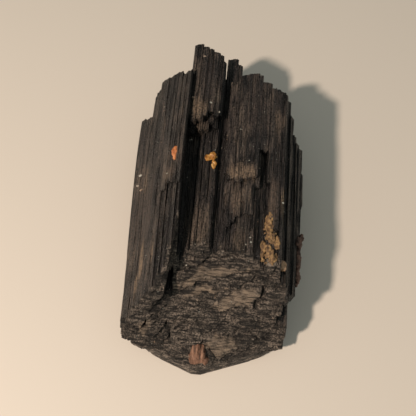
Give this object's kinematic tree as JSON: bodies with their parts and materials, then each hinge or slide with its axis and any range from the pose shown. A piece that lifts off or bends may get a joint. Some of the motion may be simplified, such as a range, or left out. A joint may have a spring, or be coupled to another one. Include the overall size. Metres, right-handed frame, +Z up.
{
  "type": "tourmaline crystal",
  "caption": "Black tourmaline crystal lying on its side: a ribbed prism with a stepped end, a rough broken end and small grains of other minerals in its surface.",
  "frame": {"origin": "on the resting surface, under the middle of the crystal's box", "axes": "+Y along the crystal towards its stepped end, +X to the right when looking along +Y, +Z up from the resting surface"},
  "size_m": [0.032, 0.058, 0.02],
  "materials": {
    "black_tourmaline": "glossy black in the grooves, dusty brown-grey on the ribs, dull grey on the break",
    "rust_mineral": "rust brown, striped, dull",
    "ochre_mineral": "ochre, granular, dull",
    "amber_mineral": "amber, slightly waxy",
    "red_mineral": "orange red, dull",
    "tan_mineral": "pinkish tan, waxy",
    "brown_mineral": "reddish brown, crumbly"
  },
  "bodies": {
    "root": {"tourmaline_crystal": "black_tourmaline", "rust_grain": "rust_mineral", "ochre_crust": "ochre_mineral", "amber_grain": "amber_mineral", "red_grain": "red_mineral", "tan_bead": "tan_mineral", "brown_rind": "brown_mineral"}
  },
  "joints": []
}
